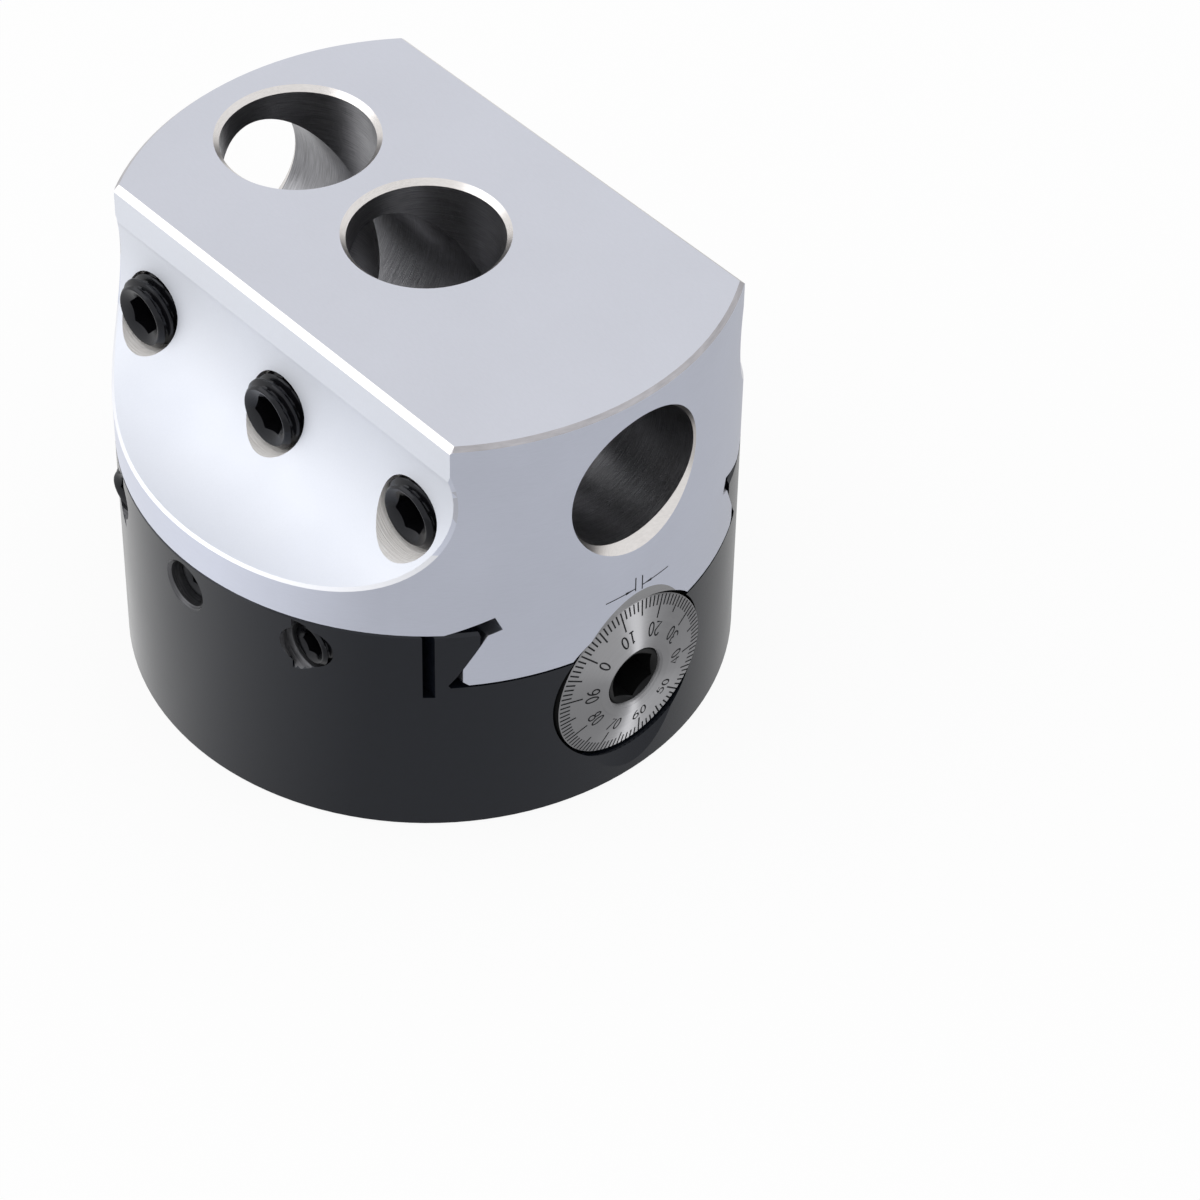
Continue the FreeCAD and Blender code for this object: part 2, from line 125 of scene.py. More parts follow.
SHANK_RADIUS = 19.05
SHANK_DEPTH = 10.5
SHANK_CHAMFER = 1.2


# Node materials

def add_node(tree, kind, **values):
    """A new node with its input values set by name."""
    made = tree.nodes.new(kind)
    for name, value in values.items():
        made.inputs[name.replace("_", " ")].default_value = value
    return made


def add_math(tree, operation, first, second=0.0):
    """The output of a new math node over sockets or numbers."""
    made = tree.nodes.new("ShaderNodeMath")
    made.operation = operation
    for index, value in enumerate((first, second)):
        if isinstance(value, (int, float)):
            made.inputs[index].default_value = value
        else:
            tree.links.new(value, made.inputs[index])
    return made.outputs[0]


class Finish:
    """A node material with a Principled shader and short ways to add nodes to it."""

    def __init__(self, name, colour, metallic, roughness):
        self.material = bpy.data.materials.new(name)
        self.material.use_nodes = True
        self.tree = self.material.node_tree
        self.shader = self.tree.nodes["Principled BSDF"]
        self.shader.inputs["Base Color"].default_value = (*colour, 1)
        self.shader.inputs["Metallic"].default_value = metallic
        self.shader.inputs["Roughness"].default_value = roughness
        self.material.diffuse_color = (*colour, 1)

    def node(self, kind, **values):
        return add_node(self.tree, kind, **values)

    def link(self, start, end):
        self.tree.links.new(start, end)

    def math(self, operation, first, second=0.0):
        return add_math(self.tree, operation, first, second)

    def place(self, scale, origin=(0, 0, 0)):
        """Object coordinates in millimetres from an origin, times a scale."""
        coordinates = self.node("ShaderNodeTexCoord")
        mapping = self.node("ShaderNodeMapping", Scale=[s / MM for s in scale],
                            Location=[-o * s for o, s in zip(origin, scale)])
        self.link(coordinates.outputs["Object"], mapping.inputs["Vector"])
        return mapping.outputs["Vector"]

    def rings(self, radial, around):
        """Coordinates along the radius and round the dial's axis, each times a scale."""
        split = self.node("ShaderNodeSeparateXYZ")
        self.link(self.place((1, 1, 1), (0, 0, DIAL_AXIS)), split.inputs[0])
        y, z = split.outputs["Y"], split.outputs["Z"]
        squares = self.math("ADD", self.math("MULTIPLY", y, y), self.math("MULTIPLY", z, z))
        radius = self.math("MULTIPLY", self.math("SQRT", squares), radial)
        angle = self.math("MULTIPLY", self.math("ARCTAN2", y, z), around)
        joined = self.node("ShaderNodeCombineXYZ")
        self.link(radius, joined.inputs["X"])
        self.link(angle, joined.inputs["Y"])
        return joined.outputs[0]

    def noise(self, vector, detail):
        made = self.node("ShaderNodeTexNoise", Scale=1.0, Detail=detail, Roughness=0.6)
        self.link(vector, made.inputs["Vector"])
        return made.outputs["Fac"]

    def spread(self, value, low, high):
        """A 0 to 1 value spread over a range."""
        made = self.node("ShaderNodeMapRange", From_Min=0.25, From_Max=0.75,
                         To_Min=low, To_Max=high)
        self.link(value, made.inputs["Value"])
        return made.outputs["Result"]

    def tint(self, value, dark, light):
        """Base colour between two colours by a 0 to 1 value."""
        ramp = self.node("ShaderNodeValToRGB")
        for element, position, colour in zip(ramp.color_ramp.elements, (0.25, 0.75), (dark, light)):
            element.position = position
            element.color = (*colour, 1)
        self.link(value, ramp.inputs["Fac"])
        self.link(ramp.outputs["Color"], self.shader.inputs["Base Color"])

    def bump(self, value, strength, depth):
        """Relief of a depth in millimetres."""
        made = self.node("ShaderNodeBump", Strength=strength, Distance=depth * MM)
        self.link(value, made.inputs["Height"])
        self.link(made.outputs["Normal"], self.shader.inputs["Normal"])

    def roughness(self, value, low, high):
        self.link(self.spread(value, low, high), self.shader.inputs["Roughness"])


EVEN_GRAIN = (3.0, 3.0, 3.0)


def scaled(colour, factor):
    return tuple(min(1.0, channel * factor) for channel in colour)


def brushed(name, colour, roughness, grain, contrast, relief=0.004):
    """Metal with a fine grain; grain is the pattern's scale per millimetre on each axis."""
    finish = Finish(name, colour, 1.0, roughness)
    streaks = finish.noise(finish.place(grain), 3)
    cloud = finish.noise(finish.place((0.05, 0.05, 0.05)), 2)
    finish.tint(finish.math("MULTIPLY", finish.math("ADD", streaks, cloud), 0.5),
                scaled(colour, 1 - contrast), scaled(colour, 1 + contrast))
    finish.roughness(cloud, roughness * 0.93, roughness * 1.07)
    finish.bump(streaks, 0.5, relief)
    return finish.material


def turned(name, colour, roughness, contrast, sheen=0.0):
    """Metal with fine rings round the dial axis, and a sheen stretched across the rings."""
    finish = Finish(name, colour, 1.0, roughness)
    if sheen:
        finish.shader.inputs["Anisotropic"].default_value = sheen
        finish.shader.inputs["Anisotropic Rotation"].default_value = 0.25
        around = finish.node("ShaderNodeTangent")
        around.direction_type = "RADIAL"
        around.axis = "X"
        finish.link(around.outputs[0], finish.shader.inputs["Tangent"])
    streaks = finish.noise(finish.rings(6.0, 0.8), 3)
    finish.tint(streaks, scaled(colour, 1 - contrast), scaled(colour, 1 + contrast))
    finish.roughness(streaks, roughness * 0.85, roughness * 1.2)
    finish.bump(streaks, 0.4, 0.004)
    return finish.material


def tapped(name, dark, light, roughness, metallic):
    """Wall of a hole along Y with fine tool marks round it."""
    finish = Finish(name, light, metallic, roughness)
    marks = finish.noise(finish.place((0.12, 3.2, 0.12)), 4)
    patches = finish.noise(finish.place((0.35, 0.5, 0.35)), 2)
    both = finish.math("ADD", finish.math("MULTIPLY", marks, 0.7),
                       finish.math("MULTIPLY", patches, 0.3))
    finish.tint(both, dark, light)
    finish.bump(marks, 1.0, 0.15)
    return finish.material


STEEL = (0.60, 0.615, 0.68)
tool_face_steel = brushed("ground_tool_face", STEEL, 0.36, (1.2, 6.0, 1.0), 0.035)
round_steel = brushed("ground_round_side", (0.68, 0.71, 0.82), 0.33, (0.5, 0.5, 7.0), 0.045)
# The recess is the slide's steel painted lighter as painted light from the left softbox; its satin
# roughness is real.
recess_steel_painted_light = brushed("satin_recess_painted_light", (0.79, 0.81, 0.86), 0.72, (5.0, 2.0, 2.0), 0.02)
# The lip along the ledge is the slide's steel painted near white as a painted highlight.
lip_steel_painted_highlight = brushed("cut_recess_lip_painted_highlight", (0.84, 0.85, 0.89), 0.50, EVEN_GRAIN, 0.03)
way_steel = brushed("ground_way", scaled(STEEL, 0.95), 0.30, (0.4, 5.0, 5.0), 0.05)
edge_steel = brushed("cut_edge", (0.72, 0.695, 0.68), 0.28, (1.2, 1.2, 6.0), 0.14)
rim_steel = brushed("cut_rim", (0.42, 0.41, 0.43), 0.30, (0.4, 0.4, 3.0), 0.25)
# The bores' steel is painted darker than the slide's other steel as painted shade inside the holes;
# its streaks are real grinding marks.
BORE_STEEL_PAINTED_SHADE = (0.31, 0.31, 0.325)
bore_steel_painted_shade = brushed("ground_bore_painted_shade", BORE_STEEL_PAINTED_SHADE, 0.32, (0.25, 0.25, 7.0), 0.60, 0.10)
cross_bore_steel_painted_shade = brushed("ground_cross_bore_painted_shade", BORE_STEEL_PAINTED_SHADE, 0.32, (7.0, 0.25, 0.25), 0.60,
                           0.10)
# The walls of the slide's screw holes are near-white non-metal paint that stands in for the light
# their steel reflects; the darker lines are real tool marks.
tapped_steel_painted_reflection = tapped("tapped_slide_hole_painted_reflection", (0.84, 0.80, 0.77), (1.0, 0.99, 0.98), 0.30, 0.0)
pocket_steel = turned("turned_pocket", (0.36, 0.36, 0.37), 0.30, 0.12)
dial_steel = turned("turned_dial", (0.46, 0.46, 0.475), 0.50, 0.10, 1.0)
inner_steel = brushed("turned_inner_steel", (0.50, 0.50, 0.51), 0.32, (6.0, 0.5, 0.5), 0.08)
bronze = brushed("bearing_bronze", (0.62, 0.40, 0.19), 0.34, (6.0, 0.6, 0.6), 0.10)
brass = brushed("pad_brass", (0.76, 0.58, 0.25), 0.34, EVEN_GRAIN, 0.08)


def black_oxide(name, colour, roughness, specular, grain):
    """Blackened steel: nearly black with a glossy oiled film."""
    finish = Finish(name, colour, 0.0, roughness)
    finish.shader.inputs["Specular IOR Level"].default_value = specular
    finish.shader.inputs["Specular Tint"].default_value = (0.89, 0.92, 1.0, 1)
    streaks = finish.noise(finish.place(grain), 3)
    cloud = finish.noise(finish.place((0.04, 0.04, 0.04)), 2)
    finish.tint(streaks, scaled(colour, 0.75), scaled(colour, 1.3))
    finish.roughness(cloud, roughness * 0.85, roughness * 1.2)
    finish.bump(streaks, 0.3, 0.003)
    return finish.material


body_black = black_oxide("black_oxide_body", (0.004, 0.005, 0.008), 0.20, 0.38, (0.5, 0.5, 7.0))
screw_black = black_oxide("black_oxide_screw", (0.004, 0.004, 0.005), 0.20, 0.30, EVEN_GRAIN)
mark_black = black_oxide("engraved_black", (0.010, 0.010, 0.011), 0.60, 0.15, (4.0, 4.0, 4.0))
# Near-black paint that stands in for the shade in the gap round the dial, on the pocket's wall and
# on the dial's rim.
painted_shade_black = black_oxide("shaded_pocket_wall", (0.006, 0.006, 0.006), 0.6, 0.1, EVEN_GRAIN)
lead_black = black_oxide("black_oxide_lead_screw", (0.005, 0.005, 0.005), 0.35, 0.12, EVEN_GRAIN)
tapped_black = tapped("tapped_body_hole", (0.006, 0.007, 0.009), (0.14, 0.14, 0.15), 0.30, 0.6)


# Finishes on the CAD nodes

# How far the middle of a mesh face may lie from the surface that it belongs to.
SKIN = 0.05


class RoundFace:
    """A round face of a CAD node: its finish, a point and direction of its axis, its radius.

    The sign is 1 for an outer side and -1 for the wall of a hole.
    """

    def __init__(self, finish, start, along, radius, sign=-1):
        self.finish = finish
        self.start = Vector(start)
        self.along = Vector(along)
        self.radius = radius
        self.sign = sign

    def directions(self, points, flat):
        """Outward directions at a mesh face's points, or None where the face isn't on it."""
        found = []
        for point in points:
            away = point - self.start
            away -= self.along * away.dot(self.along)
            direction = away.normalized() * self.sign
            if abs(away.length - self.radius) > 0.02 or direction.dot(flat) < 0.97:
                return None
            found.append(direction)
        return found


def smooth(mesh, sharp_degrees=28):
    """Smooth shading up to an angle between faces."""
    mesh.shade_smooth()
    mesh.set_sharp_from_angle(angle=math.radians(sharp_degrees))


def finish_whole(node, material):
    mesh = nodes[node].data
    mesh.materials.clear()
    mesh.materials.append(material)
    smooth(mesh)


def finish_by_face(node, materials, round_faces, choose):
    """Finish and true directions of each round face; choose(centre, normal) names the rest."""
    mesh = nodes[node].data
    mesh.materials.clear()
    order = list(materials)
    for material in materials.values():
        mesh.materials.append(material)
    smooth(mesh)
    directions = [Vector(normal.vector) for normal in mesh.corner_normals]
    points = [vertex.co / MM for vertex in mesh.vertices]
    for face in mesh.polygons:
        corners = [points[vertex] for vertex in face.vertices]
        for surface in round_faces:
            found = surface.directions(corners, face.normal)
            if found:
                name = surface.finish
                for corner, direction in zip(face.loop_indices, found):
                    directions[corner] = direction
                break
        else:
            name = choose(face.center / MM, face.normal)
        face.material_index = order.index(name)
    mesh.normals_split_custom_set(directions)


def slide_region(centre, normal):
    """Finish of a face of the slide that isn't on one of its round faces."""
    x, y, z = centre
    from_axis = math.hypot(x, y)
    from_upright = min(from_axis, math.hypot(x + BAR_PITCH, y))
    from_cross = math.hypot(y, z - CROSS_BORE_HEIGHT)
    if z > TOP - SKIN:
        return "tool_face"
    if from_upright < BAR_RADIUS + BORE_CHAMFER and z > TOP - BORE_CHAMFER:
        return "edge"
    if from_upright < BAR_RADIUS + SKIN and z > TOP - BAR_DEPTH - SKIN:
        return "bore"
    if from_cross < CROSS_MOUTH_RADIUS and abs(x) > CROSS_MOUTH_X:
        if from_axis < HEAD_RADIUS - SKIN:
            return "edge"
    for place in BAR_SCREW_PLACES:
        from_screw = math.hypot(x - place, z - BAR_SCREW_HEIGHT)
        if from_screw < BAR_HOLE_MOUTH_RADIUS + SKIN and y < -BAR_RADIUS and abs(normal.y) < 0.8:
            return "tapped"
    if z > TOP - TOP_CHAMFER and normal.z > 0.3:
        return "rim" if from_axis > HEAD_RADIUS - TOP_CHAMFER else "edge"
    if abs(y) > FLAT_Y - RECESS_BITE and z > LEDGE - LEDGE_CHAMFER:
        if max(abs(normal.y), normal.z) > 0.99:
            return "recess"
        return "round" if z > LEDGE + RECESS_RADIUS / 2 else "lip"
    if x > DISH_START_X and math.hypot(y, z - DIAL_AXIS) < DISH_REACH:
        return "pocket"
    return "way"


def body_region(centre, _normal):
    """Finish of a face of the body that isn't on its round side."""
    x, y, z = centre
    if y < GIB_HOLE_END_Y and math.hypot(x, y) < HEAD_RADIUS - 2 * SKIN:
        for place in GIB_SCREW_PLACES:
            if math.hypot(x - place, z - GIB_SCREW_HEIGHT) < GIB_HOLE_MOUTH_RADIUS:
                return "tapped"
    return "black"


slide_round_faces = [
    RoundFace("round", (0, 0, 0), UP, HEAD_RADIUS, 1),
    RoundFace("bore", (0, 0, 0), UP, BAR_RADIUS),
    RoundFace("bore", (-BAR_PITCH, 0, 0), UP, BAR_RADIUS),
    RoundFace("cross_bore", (0, 0, CROSS_BORE_HEIGHT), LENGTHWISE, BAR_RADIUS),
    RoundFace("recess", (0, RECESS_CENTRE_Y, RECESS_CENTRE_Z), LENGTHWISE, RECESS_RADIUS),
    RoundFace("recess", (0, -RECESS_CENTRE_Y, RECESS_CENTRE_Z), LENGTHWISE, RECESS_RADIUS),
    # The pocket's wall is painted near black as the shade in the gap round the dial.
    RoundFace("wall", (0, 0, DIAL_AXIS), LENGTHWISE, POCKET_RADIUS),
]
for place in BAR_SCREW_PLACES:
    for radius in (BAR_HOLE_RADIUS, BAR_HOLE_MOUTH_RADIUS):
        slide_round_faces.append(RoundFace("tapped", (place, 0, BAR_SCREW_HEIGHT), ACROSS, radius))
body_round_faces = [RoundFace("black", (0, 0, 0), UP, HEAD_RADIUS, 1)]
finish_by_face("tool_slide", {
    "tool_face": tool_face_steel,
    "round": round_steel,
    "recess": recess_steel_painted_light,
    "way": way_steel,
    "edge": edge_steel,
    "lip": lip_steel_painted_highlight,
    "rim": rim_steel,
    "bore": bore_steel_painted_shade,
    "cross_bore": cross_bore_steel_painted_shade,
    "tapped": tapped_steel_painted_reflection,
    "pocket": pocket_steel,
    "wall": painted_shade_black,
}, slide_round_faces, slide_region)
finish_by_face("head_body", {"black": body_black, "tapped": tapped_black},
               body_round_faces, body_region)
for node in ("front_bush", "rear_bush", "thrust_washer", "feed_nut"):
    finish_whole(node, bronze)
for node in ("thrust_collar", "collar_pin", "nut_dowels"):
    finish_whole(node, inner_steel)
for node in ("nut_screws", "dial_grub_screw"):
    finish_whole(node, screw_black)
finish_whole("lock_pad", brass)


# Mesh pieces

def mesh_piece(name, points, faces, material, body, sharp_degrees=35):
    """An object from points in millimetres that rides on a body."""
    mesh = bpy.data.meshes.new(name)
    mesh.from_pydata([Vector(point) * MM for point in points], [], faces)
    mesh.validate()
    mesh.update()
    mesh.materials.append(material)
    smooth(mesh, sharp_degrees)
    piece = bpy.data.objects.new(name, mesh)
    bpy.context.scene.collection.objects.link(piece)
    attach(piece, body)
    return piece


class Axis:
    """A line in space: a start point and a direction, with two directions across it."""

    def __init__(self, start, along, side=UP):
        self.start = Vector(start)
        self.along = Vector(along)
        self.side = Vector(side)
        self.other = self.along.cross(self.side)

    def at(self, distance, radius, angle):
        """Point at a distance along, a radius out and an angle by the right-hand rule."""
        out = self.side * math.cos(angle) + self.other * math.sin(angle)
        return self.start + self.along * distance + out * radius


def rings_mesh(rows, closed_end=True):
    """Points and quads from rows of equally many points, with one face over the last row."""
    count = len(rows[0])
    points = [point for row in rows for point in row]
    faces = []
    for row in range(len(rows) - 1):
        for column in range(count):
            after = (column + 1) % count
            start = row * count
            faces.append((start + column, start + after,
                          start + count + after, start + count + column))
    if closed_end:
        last = (len(rows) - 1) * count
        faces.append(tuple(range(last, last + count)))
    return points, faces


def thread_radius(distance, angle, major, pitch, depth_share=0.6134):
    """Radius of a right-hand thread's surface at a distance along its axis.

    The depth of the thread is a share of its pitch.
    """
    phase = (distance / pitch - angle / TURN) % 1
    crest_end, root_start, root_end = 1 / 8, 7 / 16, 11 / 16
    if phase < crest_end:
        drop = 0
    elif phase < root_start:
        drop = (phase - crest_end) / (root_start - crest_end)
    elif phase < root_end:
        drop = 1
    else:
        drop = (1 - phase) / (1 - root_end)
    return major - drop * depth_share * pitch


def hexagon_radius(angle, across_flats):
    """Distance from the centre to a hexagon's side, with a corner at angle 0."""
    sixth = TURN / 6
    return across_flats / 2 / math.cos((angle % sixth) - sixth / 2)


def socket_rows(axis, angles, face_radius, mouth_radius, across_flats, depth, corner_angle):
    """Rows from the rim of a face over a countersunk hexagon socket to its floor."""
    hexagon = [hexagon_radius(angle - math.radians(corner_angle), across_flats)
               for angle in angles]
    drill = across_flats * 0.42
    slope = math.tan(math.radians(30))
    return [
        [axis.at(0, face_radius, angle) for angle in angles],
        [axis.at(0, mouth_radius, angle) for angle in angles],
        [axis.at((mouth_radius - r) * slope, r, angle) for angle, r in zip(angles, hexagon)],
        [axis.at(depth, r, angle) for angle, r in zip(angles, hexagon)],
        [axis.at(depth, drill, angle) for angle in angles],
        [axis.at(depth + drill * 0.5, 0.05, angle) for angle in angles],
    ]


def angles_round(steps):
    """Equally spaced angles round a circle."""
    return [TURN * step / steps for step in range(steps)]


def set_screw(node, body, pitch, across_flats, socket_depth, corner_angle):
    """Threaded set screw in the place of its plain CAD cylinder."""
    low, high = box_mm(node)
    centre = centre_mm(node)
    major = radius_mm(node)
    length = high.y - low.y
    axis = Axis((centre.x, low.y, centre.z), ACROSS)
    angles = angles_round(72)
    face_radius, cup_radius = major * 0.83, major * 0.75
    mouth_radius = face_radius - 0.2
    rows = list(reversed(socket_rows(axis, angles, face_radius, mouth_radius, across_flats,
                                     socket_depth, corner_angle)))
    rows_per_turn = 12
    steps = math.ceil(length / pitch * rows_per_turn)
    for step in range(1, steps + 1):
        distance = length * step / steps
        limit = min(face_radius + distance, cup_radius + length - distance)
        rows.append([
            axis.at(distance, min(limit, thread_radius(distance, angle, major, pitch)), angle)
            for angle in angles])
    points, faces = rings_mesh(rows)
    piece = mesh_piece(node + "_threaded", points, faces, screw_black, body, 50)
    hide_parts(node)


BAR_THREAD_PITCH = 1.75
GIB_THREAD_PITCH = 1.25
for node, body, corner_angle in zip(BAR_SCREWS, BAR_SCREW_BODIES, (41, 17, 18)):
    set_screw(node, body, BAR_THREAD_PITCH, 6.0, 5.5, corner_angle)
for node, body, corner_angle in zip(GIB_SCREWS, GIB_SCREW_BODIES, (10, 35, 20)):
    set_screw(node, body, GIB_THREAD_PITCH, 4.0, 4.0, corner_angle)


def lead_screw():
    """Lead screw with its hexagon socket, seat, journal, rolled thread and tail."""
    seat, journal, thread, tail = 5.5, 6.0, 5.555, 4.0
    pitch = 1.27
    journal_end_x = 26.89
    thread_length = 53.05
    seat_end = lead_high.x - DIAL_BACK
    thread_start = lead_high.x - journal_end_x
    thread_end = thread_start + thread_length
    end = lead_high.x - lead_low.x
    rim, tail_bevel = 0.35, 0.5
    axis = Axis((lead_high.x, 0, DIAL_AXIS), (-1, 0, 0))
    angles = angles_round(60)
    rows = list(reversed(socket_rows(axis, angles, face_radius=seat - rim, mouth_radius=4.75,
                                     across_flats=8.0, depth=8.0, corner_angle=0)))

    def ring(distance, radius):
        rows.append([axis.at(distance, radius, angle) for angle in angles])

    for distance, radius in ((rim, seat), (seat_end, seat), (seat_end, journal),
                             (thread_start, journal), (thread_start, thread)):
        ring(distance, radius)
    rows_per_turn = 8
    steps = math.ceil(thread_length / pitch * rows_per_turn)
    for step in range(1, steps + 1):
        distance = thread_start + thread_length * step / steps
        rows.append([axis.at(distance, thread_radius(distance, angle, thread, pitch), angle)
                     for angle in angles])
    for distance, radius in ((thread_end, tail), (end - tail_bevel, tail),
                             (end, tail - tail_bevel)):
        ring(distance, radius)
    points, faces = rings_mesh(rows)
    piece = mesh_piece("lead_screw_threaded", points, faces, lead_black, "dial", 40)
    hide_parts("lead_screw")


lead_screw()


def dial():
    """Dial turned to a cone with a flat hub and softly broken edges, its rim painted near black as
    shade in the gap round it.
    """
    axis = Axis((0, 0, DIAL_AXIS), LENGTHWISE)
    angles = angles_round(200)
    bevel, soft = 0.35, 0.12
    profile = [
        (DIAL_HUB_X - bevel, DIAL_BORE),
        (DIAL_HUB_X, DIAL_BORE + bevel),
        (DIAL_HUB_X, DIAL_HUB_RADIUS - soft),
        (DIAL_HUB_X - soft * 0.1, DIAL_HUB_RADIUS + soft),
        (DIAL_RIM_X + 0.02, DIAL_RADIUS - soft),
        (DIAL_RIM_X - soft, DIAL_RADIUS),
        (DIAL_BACK + soft, DIAL_RADIUS),
        (DIAL_BACK, DIAL_RADIUS - soft),
        (DIAL_BACK, DIAL_BORE),
        (DIAL_HUB_X - bevel, DIAL_BORE),
    ]
    rows = [[axis.at(x, radius, angle) for angle in angles] for x, radius in reversed(profile)]
    points, faces = rings_mesh(rows, closed_end=False)
    piece = mesh_piece("dial_turned", points, faces, dial_steel, "dial", 8)
    piece.data.materials.append(painted_shade_black)
    # Faces on the rim get the near-black paint that stands in for shade in the gap.
    for face in piece.data.polygons:
        centre = face.center / MM
        if math.hypot(centre.y, centre.z - DIAL_AXIS) > DIAL_RADIUS - 0.02:
            face.material_index = 1
    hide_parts("dial_ring")


dial()


# Engraved marks

ENGRAVING_LIFT = 0.012


class Marks:
    """Thin ribbons laid on a surface. The surface maps flat (u, v) to (point, normal)."""

    def __init__(self, surface):
        self.surface = surface
        self.points = []
        self.faces = []

    def line(self, path, width):
        """Ribbon of a width along a list of (u, v) points."""
        first = len(self.points)
        spots = [self.surface(u, v) for u, v in path]
        for index, (point, normal) in enumerate(spots):
            before = spots[max(index - 1, 0)][0]
            after = spots[min(index + 1, len(spots) - 1)][0]
            aside = normal.cross(after - before).normalized() * (width / 2)
            self.points.append(point + aside + normal * ENGRAVING_LIFT)
            self.points.append(point - aside + normal * ENGRAVING_LIFT)
        for index in range(first, first + 2 * len(path) - 2, 2):
            self.faces.append((index, index + 1, index + 3, index + 2))

    def patch(self, corners):
        """Flat patch through (u, v) corners."""
        first = len(self.points)
        for u, v in corners:
            point, normal = self.surface(u, v)
            self.points.append(point + normal * ENGRAVING_LIFT)
        self.faces.append(tuple(range(first, first + len(corners))))

    def piece(self, name, body):
        return mesh_piece(name, self.points, self.faces, mark_black, body)


def on_dial(radius, angle_degrees):
    """Point and normal on the dial's cone; angles run clockwise seen from +X, from +Z."""
    angle = math.radians(angle_degrees)
    fall = (DIAL_HUB_X - DIAL_RIM_X) / (DIAL_RADIUS - DIAL_HUB_RADIUS)
    x = DIAL_HUB_X - max(radius - DIAL_HUB_RADIUS, 0) * fall
    out = Vector((0, math.sin(angle), math.cos(angle)))
    normal = (Vector(LENGTHWISE) + out * fall).normalized()
    return Vector((x, 0, DIAL_AXIS)) + out * radius, normal


def on_round_side(y, z):
    """Point and normal on the round side of the slide, on the +X end."""
    x = math.sqrt(HEAD_RADIUS ** 2 - y ** 2)
    return Vector((x, y, z)), Vector((x, y, 0)).normalized()


def arc(centre_x, centre_y, radius_x, radius_y, start, end, steps=10):
    """Points of an ellipse's arc between two angles in degrees."""
    made = []
    for step in range(steps + 1):
        angle = math.radians(start + (end - start) * step / steps)
        made.append((centre_x + radius_x * math.cos(angle), centre_y + radius_y * math.sin(angle)))
    return made


# Single-line numerals in a cell 0.62 wide and 1 high, each a list of strokes.
NUMERALS = {
    "0": [arc(0.31, 0.5, 0.25, 0.5, 0, 360, 20)],
    "1": [[(0.12, 0.84), (0.31, 1.0), (0.31, 0.0)], [(0.12, 0.0), (0.50, 0.0)]],
    "2": [arc(0.31, 0.73, 0.26, 0.27, 170, -35) + [(0.05, 0.0), (0.59, 0.0)]],
    "3": [arc(0.29, 0.75, 0.24, 0.25, 160, -80) + arc(0.29, 0.27, 0.28, 0.27, 80, -160)],
    "4": [[(0.60, 0.30), (0.02, 0.30), (0.44, 1.0), (0.44, 0.0)]],
    "5": [[(0.54, 1.0), (0.12, 1.0), (0.08, 0.56)] + arc(0.29, 0.32, 0.28, 0.32, 140, -150)],
    "6": [arc(0.50, 0.36, 0.45, 0.64, 100, 180) + arc(0.31, 0.29, 0.26, 0.29, 180, -180, 16)],
    "7": [[(0.04, 1.0), (0.58, 1.0), (0.20, 0.0)]],
    "8": [arc(0.31, 0.76, 0.21, 0.24, -90, 270, 16), arc(0.31, 0.26, 0.27, 0.26, 90, 450, 16)],
    "9": [arc(0.12, 0.64, 0.45, 0.64, -80, 0) + arc(0.31, 0.71, 0.26, 0.29, 0, 360, 16)],
}


def dial_marks():
    """A hundred graduations and the numbers 0 to 90, tops towards the centre."""
    marks = Marks(on_dial)
    zero_angle = -45.0
    division = 3.6
    outer = DIAL_RADIUS - 0.15
    long_inner, middle_inner, short_inner = 10.9, 12.1, 13.1
    tick_width, numeral_width = 0.29, 0.31
    for number in range(100):
        inner = short_inner
        if number % 5 == 0:
            inner = middle_inner
        if number % 10 == 0:
            inner = long_inner
        angle = zero_angle + division * number
        marks.line([(inner, angle), ((inner + outer) / 2, angle), (outer, angle)], tick_width)
    height = 2.3
    narrowing = 0.86
    middle_radius = 9.1
    cell = 0.62
    gap = 0.16
    for number in range(0, 100, 10):
        text = str(number)
        width = len(text) * cell + (len(text) - 1) * gap
        for place, digit in enumerate(text):
            for stroke in NUMERALS[digit]:
                path = []
                for u, v in stroke:
                    radius = middle_radius - (v - 0.5) * height
                    across = (place * (cell + gap) + u - width / 2) * height * narrowing
                    turn = math.degrees(across / middle_radius)
                    path.append((radius, zero_angle + division * number - turn))
                marks.line(path, numeral_width)
    marks.piece("dial_marks", "dial")


def index_marks():
    """Two index lines over the dial with an arrow on each side."""
    marks = Marks(on_round_side)
    arrow_height = 41.4
    arrow_head, arrow_half_width = 2.0, 0.28
    line_width, arrow_width = 0.22, 0.20
    left, right = -0.6, 0.82
    for y, low, high in ((left, 40.9, 43.75), (right, 40.5, 43.5)):
        marks.line([(y, low), (y, high)], line_width)
    for tip, tail in ((left, -6.5), (right, 6.7)):
        path = [(tip + (tail - tip) * step / 6, arrow_height) for step in range(7)]
        marks.line(path, arrow_width)
        head = tip + math.copysign(arrow_head, tail - tip)
        marks.patch([(tip, arrow_height), (head, arrow_height + arrow_half_width),
                     (head, arrow_height - arrow_half_width)])
    marks.piece("index_marks", "slide")


dial_marks()
index_marks()


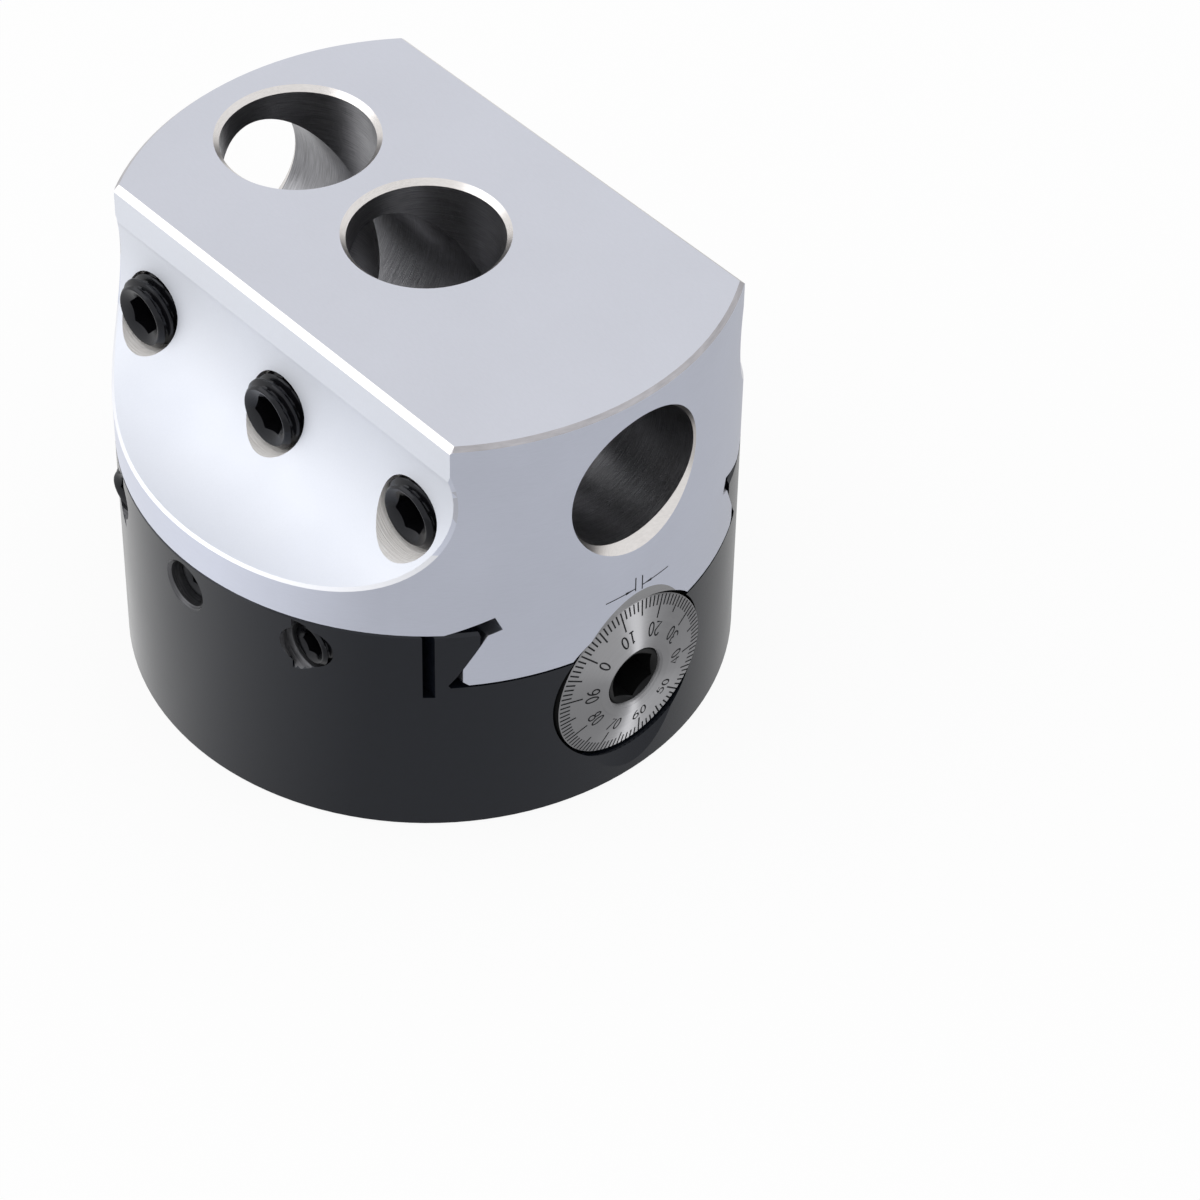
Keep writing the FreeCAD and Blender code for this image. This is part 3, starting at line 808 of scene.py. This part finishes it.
def shank_thread():
    """Ridges of the shank thread in the bottom of the body."""
    pitch = 25.4 / 18
    depth_share = 0.5
    axis = Axis((0, 0, SHANK_CHAMFER), UP, LENGTHWISE)
    angles = angles_round(120)
    end_gap = 0.8
    length = SHANK_DEPTH - SHANK_CHAMFER - end_gap
    rows_per_turn = 10
    rows_to_fade = 6
    steps = math.ceil(length / pitch * rows_per_turn)
    sunk = 0.005
    wall = SHANK_RADIUS + sunk
    rows = [[axis.at(0, wall, angle) for angle in angles]]
    for step in range(steps + 1):
        distance = length * step / steps
        rise = min(1.0, step / rows_to_fade, (steps - step) / rows_to_fade)
        rows.append([
            axis.at(distance, wall - rise * thread_radius(distance, angle, depth_share * pitch,
                                                          pitch, depth_share), angle)
            for angle in angles])
    points, faces = rings_mesh(rows, closed_end=False)
    mesh_piece("shank_thread_ridges", points, faces, body_black, "body", 50)


shank_thread()


# Floor, lights and camera

def seen_directly(tree):
    """1 for rays from the camera, in reflections and through glass, and 0 for soft light."""
    path = add_node(tree, "ShaderNodeLightPath")
    seen = path.outputs["Is Camera Ray"]
    for name in ("Is Glossy Ray", "Is Transmission Ray"):
        seen = add_math(tree, "MAXIMUM", seen, path.outputs[name])
    return seen


def floor_light(tree):
    """White to the camera; in reflections a painted glow, lighter to the left as painted softbox
    light and darker to the right as painted shade.
    """
    to_the_left = (-0.90, -0.43, 0)
    here = add_node(tree, "ShaderNodeTexCoord")
    outward = add_node(tree, "ShaderNodeVectorMath")
    outward.operation = "NORMALIZE"
    tree.links.new(here.outputs["Object"], outward.inputs[0])
    side = add_node(tree, "ShaderNodeVectorMath")
    side.operation = "DOT_PRODUCT"
    side.inputs[1].default_value = to_the_left
    tree.links.new(outward.outputs["Vector"], side.inputs[0])
    # Painted light and shade: the glow runs from 1.0 on the left down to 0.58 on the right.
    fall = add_node(tree, "ShaderNodeMapRange", From_Min=-0.15, From_Max=0.60,
                    To_Min=0.58, To_Max=1.0)
    tree.links.new(side.outputs["Value"], fall.inputs["Value"])
    path = add_node(tree, "ShaderNodeLightPath")
    white = add_node(tree, "ShaderNodeMix", B=1.0)
    tree.links.new(path.outputs["Is Camera Ray"], white.inputs["Factor"])
    tree.links.new(fall.outputs["Result"], white.inputs["A"])
    return white.outputs["Result"]


def floor():
    """Plain pale floor that keeps the head's shadow and shows white."""
    size = 6.0
    height = -0.00005
    glow_share = 0.92
    mesh = bpy.data.meshes.new("floor")
    mesh.from_pydata([(-size, -size, height), (size, -size, height), (size, size, height),
                      (-size, size, height)], [], [(0, 1, 2, 3)])
    piece = bpy.data.objects.new("floor", mesh)
    bpy.context.scene.collection.objects.link(piece)
    material = bpy.data.materials.new("white_floor")
    material.use_nodes = True
    tree = material.node_tree
    tree.nodes.clear()
    output = add_node(tree, "ShaderNodeOutputMaterial")
    paint = add_node(tree, "ShaderNodeBsdfDiffuse", Color=(0.88, 0.88, 0.88, 1))
    glow = add_node(tree, "ShaderNodeEmission", Color=(1, 1, 1, 1))
    mix = add_node(tree, "ShaderNodeMixShader")
    tree.links.new(floor_light(tree), glow.inputs["Strength"])
    tree.links.new(add_math(tree, "MULTIPLY", seen_directly(tree), glow_share), mix.inputs["Fac"])
    tree.links.new(paint.outputs[0], mix.inputs[1])
    tree.links.new(glow.outputs[0], mix.inputs[2])
    tree.links.new(mix.outputs[0], output.inputs["Surface"])
    mesh.materials.append(material)


def world():
    """Soft white surroundings, plain white behind the object and in its reflections."""
    made = bpy.data.worlds.new("studio")
    bpy.context.scene.world = made
    made.use_nodes = True
    tree = made.node_tree
    background = tree.nodes["Background"]
    background.inputs["Color"].default_value = (1, 1, 1, 1)
    strength = add_node(tree, "ShaderNodeMapRange", To_Min=0.85, To_Max=1.0)
    tree.links.new(seen_directly(tree), strength.inputs["Value"])
    tree.links.new(strength.outputs["Result"], background.inputs["Strength"])


def softbox(name, place, target, size, radiance):
    """Square area lamp of a radiance, aimed at a point, in metres."""
    lamp = bpy.data.lights.new(name, "AREA")
    lamp.shape = "SQUARE"
    lamp.size = size
    lamp.energy = radiance * math.pi * size * size
    piece = bpy.data.objects.new(name, lamp)
    piece.location = place
    piece.rotation_mode = "QUATERNION"
    piece.rotation_quaternion = (Vector(target) - Vector(place)).to_track_quat("-Z", "Y")
    bpy.context.scene.collection.objects.link(piece)


def camera():
    """Camera at the photograph's place, found from the outline and the bores."""
    azimuth, elevation, roll = map(math.radians, (47.102, 44.154, 1.377))
    place = Vector((0.4290, -0.3596, 0.5450))
    back = Vector((math.sin(azimuth) * math.cos(elevation),
                   -math.cos(azimuth) * math.cos(elevation), math.sin(elevation)))
    level_right = (-back).cross(Vector(UP)).normalized()
    level_up = level_right.cross(-back)
    right = level_right * math.cos(roll) + level_up * math.sin(roll)
    up = level_up * math.cos(roll) - level_right * math.sin(roll)
    data = bpy.data.cameras.new("camera")
    data.sensor_width = 36.0
    data.lens = 138.587
    data.clip_start = 0.01
    data.clip_end = 50.0
    piece = bpy.data.objects.new("camera", data)
    bpy.context.scene.collection.objects.link(piece)
    turn = Matrix((right, up, back)).transposed()
    piece.matrix_world = Matrix.Translation(place) @ turn.to_4x4()
    bpy.context.scene.camera = piece


floor()
world()
softbox("left_softbox", (-0.95, -1.15, 0.95), (0, 0, 0.05), 1.5, 1.05)
softbox("right_softbox", (1.36, 0.80, 0.22), (0, 0, 0.03), 0.4, 8.0)
camera()
bpy.context.scene.view_settings.view_transform = "Standard"
